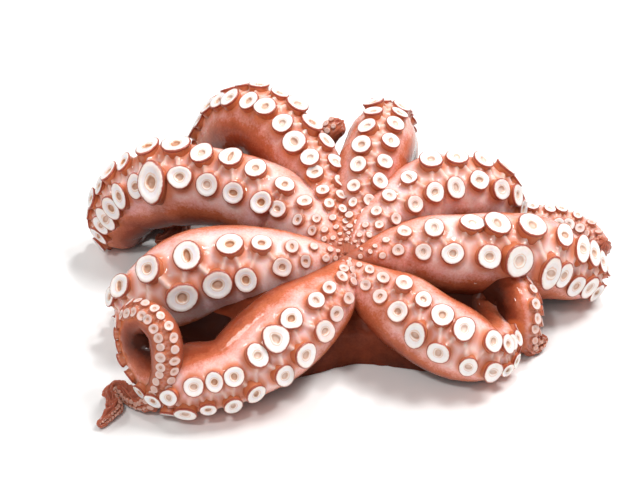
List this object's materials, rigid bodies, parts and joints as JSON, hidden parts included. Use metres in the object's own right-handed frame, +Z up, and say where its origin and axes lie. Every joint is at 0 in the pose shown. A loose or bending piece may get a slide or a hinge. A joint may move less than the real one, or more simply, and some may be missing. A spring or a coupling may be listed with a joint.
{
  "type": "whole boiled octopus",
  "caption": "Whole cooked octopus lying mouth up, its suckered arms arched outwards and curled back under to rest on a flat surface.",
  "frame": {"origin": "on the surface it lies on, under the middle of its bounding box", "axes": "+X along its longest side, to the right seen from the front; +Y to the back; +Z up"},
  "size_m": [0.3299, 0.2568, 0.1007],
  "materials": {
    "octopus_skin": "wet cooked skin, salmon to brown-red, with pale suckers"
  },
  "bodies": {
    "root": {"octopus": "octopus_skin"}
  },
  "joints": []
}
